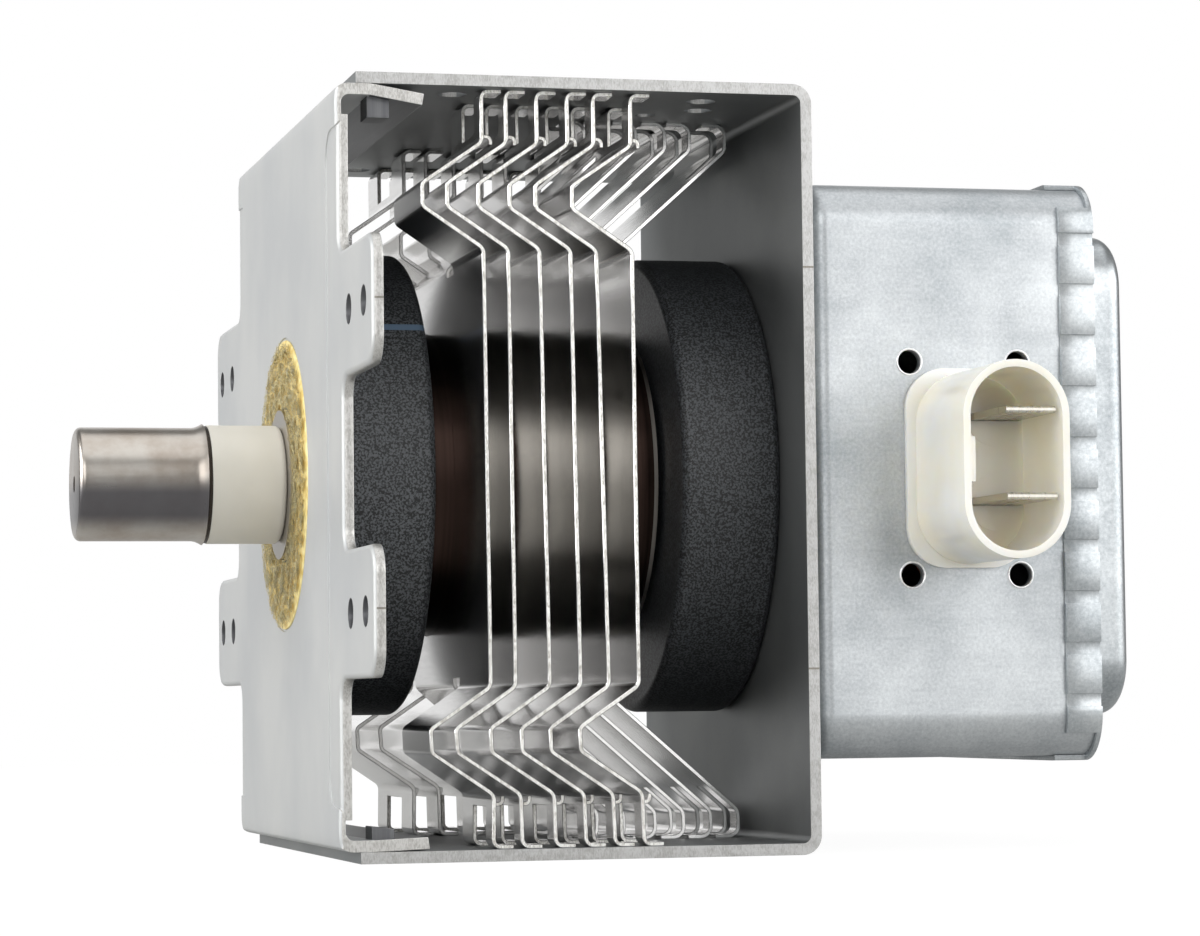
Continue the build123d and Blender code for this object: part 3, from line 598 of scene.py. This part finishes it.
turnAngles = {"sharpAngle": math.radians(35), "smoothAngle": math.radians(40)}
sheetEdge = {"easing": 0.14, "segments": 2, **turnAngles}
finEdge = {
    "easing": 0.07, "segments": 1, "cutFinish": finEdgeBare, "thirdFinish": collarSheetLit, "isCut": finCut,
    **turnAngles,
}
finLeans = {  # (height, move along X) in mm down each fin, as the assembled stack stands
    "cooling_fin_1": ((46, 0.1), (31, 0.2), (-31, 0.66), (-37.5, 0.93), (-46, 0.8)),
    "cooling_fin_2": ((46, 0.1), (31, 0.25), (-31, 0.71), (-37.5, 1.15), (-46, 1.35)),
    "cooling_fin_3": ((46, 0.0), (31, 0.2), (-31, 1.05), (-37.5, 1.35), (-46, 1.55)),
    "cooling_fin_4": ((46, 0.0), (31, 0.25), (-31, 1.05), (-37.5, 1.25), (-46, 1.5)),
    "cooling_fin_5": ((46, 0.0), (31, 0.15), (-31, 1.3), (-37.5, 1.5), (-46, 1.8)),
    "cooling_fin_6": ((46, 0.0), (31, 0.0), (-31, 0.25), (-37.5, 0.45), (-46, 0.7)),
}
easings = {
    "mounting_plate": {
        **sheetEdge, "cutFinish": plateEdge, "isCut": outlineCut,
        "dieRoll": {"width": 0.7, "segments": 3},
        "flattened": {"pastX": -0.05, "kept": 0.25},
        "tongue": {"below": -42.5, "fromX": 4.2, "slope": 0.13},
    },
    "yoke_frame": {**sheetEdge, "cutFinish": yokeEdge, "isCut": sideCut},
    "filter_box": {
        "easing": 0.06, "segments": 1, "holeRims": True, "cutFinish": holeRimHighlight, "isCut": rivetRimHighlight,
        **turnAngles,
    },
    "filter_lid": {
        "easing": 0.1, "segments": 2, **turnAngles,
        "pillowed": True,  # its normals stay soft, as on a deeply pressed panel
    },
    "connector_housing": {
        **sheetEdge, "easing": 0.3, "segments": 3, "pads": {"topY": -47.8, "lowY": -43.46},
    },
    "antenna_side_magnet": {**sheetEdge, "easing": 0.3},
    "filter_side_magnet": {**sheetEdge, "easing": 0.3},
    "antenna_ceramic": sheetEdge,
    "rf_gasket": {**sheetEdge, "flattened": {"pastX": -0.05, "kept": 0.6}},
}
easings.update({name: {**finEdge, "lean": lean} for name, lean in finLeans.items()})


def joinSeam(shape, settings):
    # closes a spun shape where its ends meet and turns its faces outwards
    bmesh.ops.remove_doubles(shape, verts=shape.verts, dist=settings["merge"] * mm)
    bmesh.ops.recalc_face_normals(shape, faces=shape.faces)


# the drawn antenna cap: a turned shell with four pressed creases and a flared lip

cap = {
    "radius": 7.25, "wall": 0.4, "tipX": -27.1, "openX": -10.9, "holeRadius": 1.05,
    "corner": 0.8, "cornerSteps": 6, "bandLength": 0.5, "lastBand": 0.2,
    "lipRadius": 7.75, "lipLength": 1.3, "lipShares": (0.0, 0.35, 0.7, 1.0), "lipCurve": 1.6,
    "creaseFrom": -20.2, "creaseTo": -12.7, "creaseDepth": 0.16, "creaseWidth": 4.5,
    "creaseAngles": (39.5, 129.5, 219.5, 309.5),  # degrees from -Y, turning up
    "steps": 96, "merge": 0.002, "smoothAngle": math.radians(50),
}


def capProfile(settings):
    # outer line from the hole in the end to the lip, as (x, radius)
    points = [(settings["tipX"], settings["holeRadius"])]
    corner = settings["corner"]
    for step in range(settings["cornerSteps"] + 1):
        angle = math.radians(90 * step / settings["cornerSteps"])
        points.append((settings["tipX"] + corner * (1 - math.cos(angle)),
                       settings["radius"] - corner * (1 - math.sin(angle))))
    lipX = settings["openX"] - settings["lipLength"]
    x = points[-1][0] + settings["bandLength"]
    while x < lipX - settings["lastBand"]:
        points.append((x, settings["radius"]))
        x += settings["bandLength"]
    for share in settings["lipShares"]:
        rise = (settings["lipRadius"] - settings["radius"]) * share ** settings["lipCurve"]
        points.append((lipX + settings["lipLength"] * share, settings["radius"] + rise))
    return points


def pressCreases(shape, settings):
    for vert in shape.verts:
        x, y, z = vert.co / mm
        if not settings["creaseFrom"] < x < settings["creaseTo"]:
            continue
        angle = math.degrees(math.atan2(z, -y))
        for crease in settings["creaseAngles"]:
            off = abs((angle - crease + 180) % 360 - 180)
            if off < settings["creaseWidth"]:
                depth = settings["creaseDepth"] * (1 - off / settings["creaseWidth"])
                shrink = 1 - depth / math.hypot(y, z)
                vert.co.y *= shrink
                vert.co.z *= shrink


def addCap(settings):
    shape = bmesh.new()
    verts = [shape.verts.new((x * mm, -radius * mm, 0)) for x, radius in capProfile(settings)]
    line = [shape.edges.new(pair) for pair in zip(verts, verts[1:])]
    bmesh.ops.spin(shape, geom=verts + line, cent=(0, 0, 0), axis=(1, 0, 0), angle=math.tau,
                   steps=settings["steps"], use_merge=True)
    joinSeam(shape, settings)
    # the shell is still open, so its faces may all have come out pointing inwards
    if sum(f.normal.dot(f.calc_center_median() * Vector((0, 1, 1))) for f in shape.faces) < 0:
        bmesh.ops.reverse_faces(shape, faces=shape.faces)
    pressCreases(shape, settings)
    bmesh.ops.solidify(shape, geom=shape.faces, thickness=settings["wall"] * mm)
    shadeByAngle(shape, settings["smoothAngle"])
    standFor(addPiece("antenna_cap_drawn", shape, [capSteel]), "antenna_cap")


# the gasket: a flat ring of knitted brass wire, as loose loops over a matt core

knit = {
    "sectors": 15, "loopsEach": 190, "innerRadius": 8.5, "outerRadius": 18.0, "seed": 7,
    "wireRadius": 0.085, "wireSides": 4, "loopRadius": 0.5, "ringSteps": 8, "merge": 0.005,
    "topX": -0.71, "edgeX": -0.63, "spread": 0.04,
    "loopLength": (1.0, 2.0), "loopWidth": (0.35, 0.7), "tilt": 0.12, "turn": 0.6,
    "gapRadius": 10.2, "gapHalfWidth": 1.0,
}


def vertsIn(items):
    return [item for item in items if isinstance(item, bmesh.types.BMVert)]


def spinLoop(shape, settings):
    # one small ring of wire round the X axis
    start = (0, settings["loopRadius"] * mm, 0)
    wire = bmesh.ops.create_circle(shape, segments=settings["wireSides"],
                                   radius=settings["wireRadius"] * mm,
                                   matrix=Matrix.Translation(start))["verts"]
    bmesh.ops.rotate(shape, verts=wire, cent=start, matrix=Matrix.Rotation(math.pi / 2, 3, "X"))
    bmesh.ops.rotate(shape, verts=wire, cent=start, matrix=Matrix.Rotation(math.pi / 2, 3, "Z"))
    bmesh.ops.spin(shape, geom=list(shape.verts) + list(shape.edges), cent=(0, 0, 0), axis=(1, 0, 0),
                   angle=math.tau, steps=settings["ringSteps"], use_merge=True)
    joinSeam(shape, settings)
    return list(shape.verts) + list(shape.edges) + list(shape.faces)


def addKnit(settings):
    # the loop is laid out many times over a sector of the ring, and the sector is copied round
    chance = random.Random(settings["seed"])
    shape = bmesh.new()
    first = spinLoop(shape, settings)
    inner, outer = settings["innerRadius"], settings["outerRadius"]
    middle = (inner + outer) / 2
    half = (outer - inner) / 2
    sector = math.tau / settings["sectors"]
    for count in range(settings["loopsEach"]):
        copied = bmesh.ops.duplicate(shape, geom=first)["geom"]
        radius = math.sqrt(chance.uniform(inner ** 2, outer ** 2))
        across = abs(radius - middle) / half
        x = settings["topX"] + (settings["edgeX"] - settings["topX"]) * across ** 4
        x += chance.uniform(-settings["spread"], settings["spread"])
        stretch = Matrix.Diagonal((1, chance.uniform(*settings["loopWidth"]),
                                   chance.uniform(*settings["loopLength"]), 1))
        lean = Matrix.Rotation(chance.gauss(0, settings["tilt"]), 4, "Y") @ Matrix.Rotation(
            chance.gauss(0, settings["tilt"]), 4, "Z")
        turn = Matrix.Rotation(chance.gauss(0, settings["turn"]), 4, "X")
        place = Matrix.Rotation(chance.uniform(0, sector), 4, "X") @ Matrix.Translation(
            (x * mm, radius * mm, 0))
        bmesh.ops.transform(shape, verts=vertsIn(copied), matrix=place @ lean @ turn @ stretch)
    bmesh.ops.delete(shape, geom=vertsIn(first), context="VERTS")
    group = list(shape.verts) + list(shape.edges) + list(shape.faces)
    for step in range(1, settings["sectors"]):
        copied = bmesh.ops.duplicate(shape, geom=group)["geom"]
        bmesh.ops.rotate(shape, verts=vertsIn(copied), cent=(0, 0, 0),
                         matrix=Matrix.Rotation(step * sector, 3, "X"))
    # the knit is torn open beside the ceramic, above and below
    torn = [v for v in shape.verts if abs(v.co.y) < settings["gapHalfWidth"] * mm
            and math.hypot(v.co.y, v.co.z) < settings["gapRadius"] * mm]
    bmesh.ops.delete(shape, geom=torn, context="VERTS")
    shadeSmooth(shape)
    piece = addPiece("gasket_knit", shape, [brass])
    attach(piece, "root")


# the raised rims of the four rivet holes, painted near white as a highlight

rimRing = {"radius": 1.6, "wireRadius": 0.14, "wireSides": 8, "steps": 32, "sink": 0.02, "merge": 0.005}


def addRivetRims(settings):
    shape = bmesh.new()
    for x in rivetHoles["x"]:
        for z in rivetHoles["z"]:
            centre = Vector((x, rivetHoles["y"] + settings["sink"], z)) * mm
            start = centre + Vector((settings["radius"] * mm, 0, 0))
            ring = bmesh.ops.create_circle(shape, segments=settings["wireSides"],
                                           radius=settings["wireRadius"] * mm,
                                           matrix=Matrix.Translation(start))["verts"]
            edges = list(dict.fromkeys(edge for vert in ring for edge in vert.link_edges))
            bmesh.ops.spin(shape, geom=ring + edges, cent=centre, axis=(0, 1, 0), angle=math.tau,
                           steps=settings["steps"], use_merge=True)
    joinSeam(shape, settings)
    shadeSmooth(shape)
    piece = addPiece("rivet_hole_rims_painted_highlight", shape, [holeRimHighlight])
    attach(piece, "root")


for name, node in nodes.items():
    if name in easings:
        easedCopy(name, easings[name])
    elif name != "antenna_cap":
        node.data.materials.clear()
        node.data.materials.append(finishOf(name))
addCap(cap)
addKnit(knit)
addRivetRims(rimRing)
print("pieces finished")


# camera: where the photograph was taken from

camera = {
    "imageWidth": 1200,  # pixels
    "focalPixels": 3812.16,
    "place": (-76.73, -485.80, -28.97),  # mm
    "turn": math.radians(14.03),
    "tilt": math.radians(3.72),
    "roll": math.radians(-0.66),
    "axisRight": 22.0,  # pixels from the middle of the picture to the lens axis
    "axisUp": 9.3,
    "sensorWidth": 36.0,  # mm
    "clipStart": 0.01,  # metres
    "clipEnd": 20,
}


def addCamera(settings):
    turn, tilt, roll = settings["turn"], settings["tilt"], settings["roll"]
    forward = Vector((math.sin(turn) * math.cos(tilt), math.cos(turn) * math.cos(tilt), math.sin(tilt)))
    level = Vector((math.cos(turn), -math.sin(turn), 0))
    upright = level.cross(forward)
    right = level * math.cos(roll) + upright * math.sin(roll)
    up = upright * math.cos(roll) - level * math.sin(roll)
    data = bpy.data.cameras.new("camera")
    data.sensor_width = settings["sensorWidth"]
    data.lens = settings["focalPixels"] / settings["imageWidth"] * settings["sensorWidth"]
    data.shift_x = -settings["axisRight"] / settings["imageWidth"]
    data.shift_y = -settings["axisUp"] / settings["imageWidth"]
    data.clip_start = settings["clipStart"]
    data.clip_end = settings["clipEnd"]
    item = bpy.data.objects.new("camera", data)
    scene.collection.objects.link(item)
    turned = Matrix((right, up, -forward)).transposed().to_4x4()
    item.matrix_world = Matrix.Translation(Vector(settings["place"]) * mm) @ turned
    scene.camera = item


addCamera(camera)

# table, backdrop and lamps

stage = {
    "tableHalf": 0.8,  # metres
    "tableColour": "#b4b4b2",
    "shownWhite": 1.13,  # how bright the card glows for the camera
    "cameraShare": 0.85,  # how much of that glow the camera sees, over the lit card
    "glossyShare": 0.15,  # how much of it reflections see
    "roomColour": "#e6e6e4",
    "roomStrength": 0.2,
    "backdropAt": (0.17, 0.965, 0.17),  # direction from the object
    "backdropInner": 20,  # degrees from its middle
    "backdropOuter": 29,
}


def tableMaterial(settings):
    # matt white card; the camera sees it white and reflections partly, and it still takes the shadow
    material, tree, place = startMaterial("whiteCard")
    card = addNode(tree, "BsdfDiffuse", Color=srgb(settings["tableColour"]))
    glow = addNode(tree, "Emission", Color=(1, 1, 1, 1), Strength=settings["shownWhite"])
    path = addNode(tree, "LightPath")
    seen = addNode(tree, "Math", {"operation": "MAXIMUM"}, _0=path.outputs["Is Camera Ray"],
                   _1=path.outputs["Is Transmission Ray"])
    direct = addNode(tree, "Math", {"operation": "MULTIPLY"}, _0=seen.outputs[0],
                     _1=settings["cameraShare"])
    glossy = addNode(tree, "Math", {"operation": "MULTIPLY"}, _0=path.outputs["Is Glossy Ray"],
                     _1=settings["glossyShare"])
    share = addNode(tree, "Math", {"operation": "MAXIMUM"}, _0=direct.outputs[0], _1=glossy.outputs[0])
    mixed = addNode(tree, "MixShader", _0=share.outputs[0], _1=card.outputs[0], _2=glow.outputs[0])
    finishMaterial(tree, mixed)
    return material


def addTable(settings):
    shape = bmesh.new()
    bmesh.ops.create_grid(shape, x_segments=1, y_segments=1, size=settings["tableHalf"])
    bmesh.ops.translate(shape, verts=shape.verts, vec=(0, 0, cadBox[0][2]))
    table = addPiece("table", shape, [tableMaterial(settings)])


def addWorld(settings):
    world = bpy.data.worlds.new("studio")
    world.use_nodes = True
    tree = world.node_tree
    tree.nodes.clear()
    # the white backdrop stands behind the object, so metal shows it only from there
    direction = addNode(tree, "TexCoord").outputs["Generated"]
    towards = addNode(tree, "VectorMath", {"operation": "DOT_PRODUCT"}, _0=direction,
                      _1=Vector(settings["backdropAt"]).normalized())
    behind = addNode(tree, "MapRange", Value=towards.outputs["Value"],
                     From_Min=math.cos(math.radians(settings["backdropOuter"])),
                     From_Max=math.cos(math.radians(settings["backdropInner"])))
    path = addNode(tree, "LightPath")
    mirrored = addNode(tree, "Math", {"operation": "MULTIPLY"}, _0=path.outputs["Is Glossy Ray"],
                       _1=behind.outputs[0])
    direct = addNode(tree, "Math", {"operation": "MAXIMUM"}, _0=path.outputs["Is Camera Ray"],
                     _1=path.outputs["Is Transmission Ray"])
    seen = addNode(tree, "Math", {"operation": "MAXIMUM"}, _0=direct.outputs[0], _1=mirrored.outputs[0])
    room = addNode(tree, "Background", Color=srgb(settings["roomColour"]),
                   Strength=settings["roomStrength"])
    white = addNode(tree, "Background", Color=(1, 1, 1, 1), Strength=1.0)
    mixed = addNode(tree, "MixShader", _0=seen.outputs[0], _1=room.outputs[0], _2=white.outputs[0])
    addNode(tree, "OutputWorld", Surface=mixed.outputs[0])
    scene.world = world


lamps = {
    "softboxTop": {"place": (0, -100, 1100), "aim": (30, 0, 0), "size": 1400, "glow": 1.2},
    "softboxLeft": {"place": (-1150, 50, 250), "aim": (0, 0, 0), "size": 1200, "glow": 4.2},
    "softboxFrontLeft": {"place": (-600, -1100, 500), "aim": (60, 0, 0), "size": 900, "glow": 2.3},
    "softboxFront": {"place": (850, -1000, 300), "aim": (60, 0, 0), "size": 1350, "glow": 2.0},
    "softboxRight": {"place": (1150, -300, 300), "aim": (80, 0, 0), "size": 700, "glow": 2.4},
}


def addLamp(name, settings):
    # a square softbox; glow is how bright its face is, where 1 is white
    data = bpy.data.lights.new(name, "AREA")
    data.size = settings["size"] * mm
    data.energy = settings["glow"] * math.pi * data.size ** 2
    lamp = bpy.data.objects.new(name, data)
    scene.collection.objects.link(lamp)
    lamp.visible_camera = False
    place = Vector(settings["place"]) * mm
    lamp.location = place
    lamp.rotation_euler = (Vector(settings["aim"]) * mm - place).to_track_quat("-Z", "Y").to_euler()


addTable(stage)
addWorld(stage)
for name, settings in lamps.items():
    addLamp(name, settings)

scene.view_settings.view_transform = "Standard"
print("scene ready")
